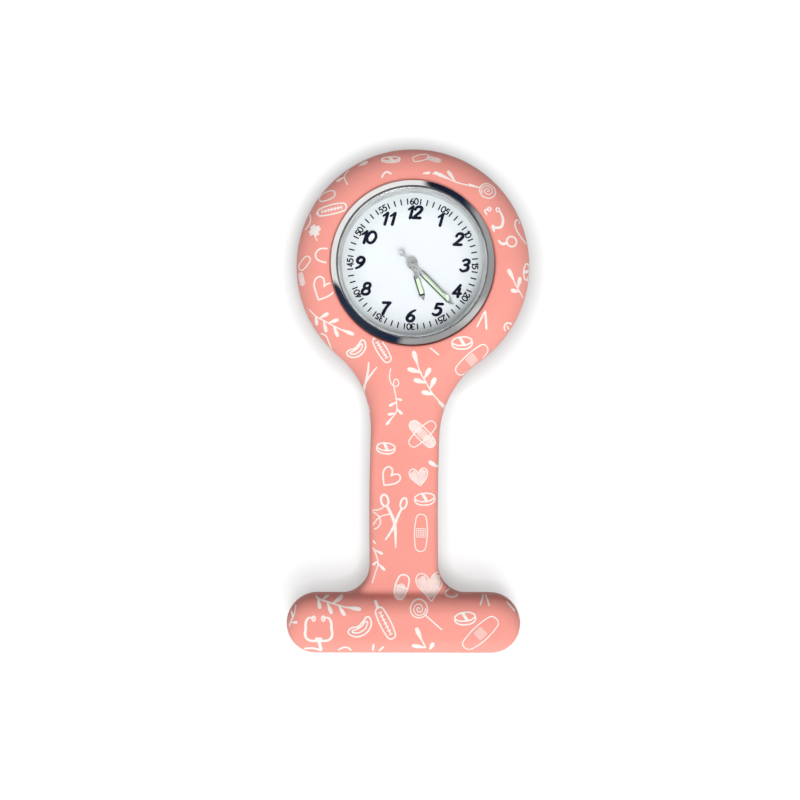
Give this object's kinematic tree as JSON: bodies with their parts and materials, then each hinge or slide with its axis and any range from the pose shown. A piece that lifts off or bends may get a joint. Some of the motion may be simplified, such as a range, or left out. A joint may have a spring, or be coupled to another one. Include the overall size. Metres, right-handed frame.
{
  "type": "fob watch",
  "caption": "Nurse's fob watch: round quartz watch head in a soft silicone T-shaped holder with a brooch pin behind its bar.",
  "frame": {"origin": "middle of the surface that the watch lies on, dial up: the centre of its outline, at the back of the head", "axes": "+Z out of the dial, +Y from the bar towards the head (twelve o'clock), +X towards three o'clock and the crown"},
  "size_m": [0.04, 0.0858, 0.0111],
  "materials": {
    "silicone": "soft satin silicone",
    "polished_steel": "polished",
    "satin_steel": "satin",
    "glass": "clear, polished",
    "dial_white": "white enamel paint",
    "hand_silver": "silver plated",
    "lume": "pale green luminous fill",
    "brass": "machined brass",
    "gasket_black": "matte rubber",
    "white_plastic": "moulded plastic",
    "board_green": "solder mask",
    "chip_black": "epoxy",
    "copper_wire": "enamelled copper wire",
    "soft_iron": "annealed",
    "magnet": "sintered"
  },
  "bodies": {
    "holder": {"silicone_holder": "silicone", "brooch_plate": "satin_steel", "hinge_rivet": "satin_steel", "catch_housing": "satin_steel"},
    "needle": {"brooch_needle": "polished_steel"},
    "catch_sleeve": {"catch_sleeve": "satin_steel"},
    "watch_head": {"watch_case": "polished_steel", "case_back": "satin_steel", "case_back_gasket": "gasket_black", "crystal": "glass", "crystal_gasket": "white_plastic", "rehaut_ring": "polished_steel", "dial": "dial_white", "main_plate": "brass", "train_bridge": "satin_steel", "circuit_board": "board_green", "control_chip": "chip_black", "quartz_can": "satin_steel", "coil_winding": "copper_wire", "coil_core": "soft_iron", "stator": "soft_iron", "battery": "satin_steel", "battery_clamp": "satin_steel", "movement_screws": "satin_steel", "movement_holder": "white_plastic", "crown_tube": "satin_steel"},
    "setting_yoke": {"setting_yoke": "satin_steel"},
    "crown": {"crown": "polished_steel", "setting_stem": "satin_steel", "crown_gasket": "gasket_black"},
    "rotor": {"rotor_magnet": "magnet", "rotor_pinion": "brass"},
    "fifth_wheel": {"fifth_wheel": "brass"},
    "seconds": {"seconds_wheel": "brass", "second_hand": "hand_silver", "second_hand_lume": "lume"},
    "third_wheel": {"third_wheel": "brass"},
    "minutes": {"centre_wheel": "brass", "minute_hand": "hand_silver", "minute_hand_lume": "lume"},
    "minute_wheel": {"minute_wheel": "brass"},
    "setting_wheel": {"setting_wheel": "brass"},
    "hours": {"hour_wheel": "brass", "hour_hand": "hand_silver", "hour_hand_lume": "lume"}
  },
  "joints": [
    {"name": "head_pushout", "type": "slide", "parent": "holder", "child": "watch_head", "axis": [0, 0, 1], "range_m": [0, 0.012]},
    {"name": "seconds_turn", "type": "hinge", "parent": "watch_head", "child": "seconds", "pos_m": [0, 0.0229, 0.007], "axis": [0, 0, -1], "continuous": true},
    {"name": "rotor_turn", "type": "hinge", "parent": "watch_head", "child": "rotor", "pos_m": [-0.00109, 0.02669, 0.007], "axis": [0, 0, -1], "continuous": true},
    {"name": "fifth_turn", "type": "hinge", "parent": "watch_head", "child": "fifth_wheel", "pos_m": [-0.00221, 0.02475, 0.007], "axis": [0, 0, -1], "continuous": true},
    {"name": "third_turn", "type": "hinge", "parent": "watch_head", "child": "third_wheel", "pos_m": [0.00271, 0.02389, 0.007], "axis": [0, 0, -1], "continuous": true},
    {"name": "minutes_turn", "type": "hinge", "parent": "watch_head", "child": "minutes", "pos_m": [0, 0.0229, 0.007], "axis": [0, 0, -1], "continuous": true},
    {"name": "minute_wheel_turn", "type": "hinge", "parent": "watch_head", "child": "minute_wheel", "pos_m": [0.00173, 0.0219, 0.007], "axis": [0, 0, -1], "continuous": true},
    {"name": "hours_turn", "type": "hinge", "parent": "watch_head", "child": "hours", "pos_m": [0, 0.0229, 0.007], "axis": [0, 0, -1], "continuous": true},
    {"name": "setting_wheel_turn", "type": "hinge", "parent": "watch_head", "child": "setting_wheel", "pos_m": [0.0042, 0.0223, 0.007], "axis": [0, 0, -1], "continuous": true},
    {"name": "crown_pull", "type": "slide", "parent": "watch_head", "child": "setting_yoke", "axis": [1, 0, 0], "range_m": [0, 0.0008]},
    {"name": "crown_turn", "type": "hinge", "parent": "setting_yoke", "child": "crown", "pos_m": [0.0129, 0.0229, 0.0049], "axis": [1, 0, 0], "continuous": true},
    {"name": "needle_hinge", "type": "hinge", "parent": "holder", "child": "needle", "pos_m": [-0.0105, -0.0377, 0.00135], "axis": [0, 1, 0], "range_deg": [0, 95]},
    {"name": "catch_turn", "type": "hinge", "parent": "holder", "child": "catch_sleeve", "pos_m": [0.01, -0.0377, 0.00135], "axis": [1, 0, 0], "range_deg": [0, 120]}
  ],
  "couplings": [
    {"joint": "rotor_turn", "follows": "seconds_turn", "ratio": 30},
    {"joint": "fifth_turn", "follows": "seconds_turn", "ratio": -5},
    {"joint": "third_turn", "follows": "seconds_turn", "ratio": -0.13333},
    {"joint": "minutes_turn", "follows": "seconds_turn", "ratio": 0.016667},
    {"joint": "minute_wheel_turn", "follows": "seconds_turn", "ratio": -0.0055556},
    {"joint": "hours_turn", "follows": "seconds_turn", "ratio": 0.0013889},
    {"joint": "setting_wheel_turn", "follows": "seconds_turn", "ratio": 0.0083333}
  ]
}
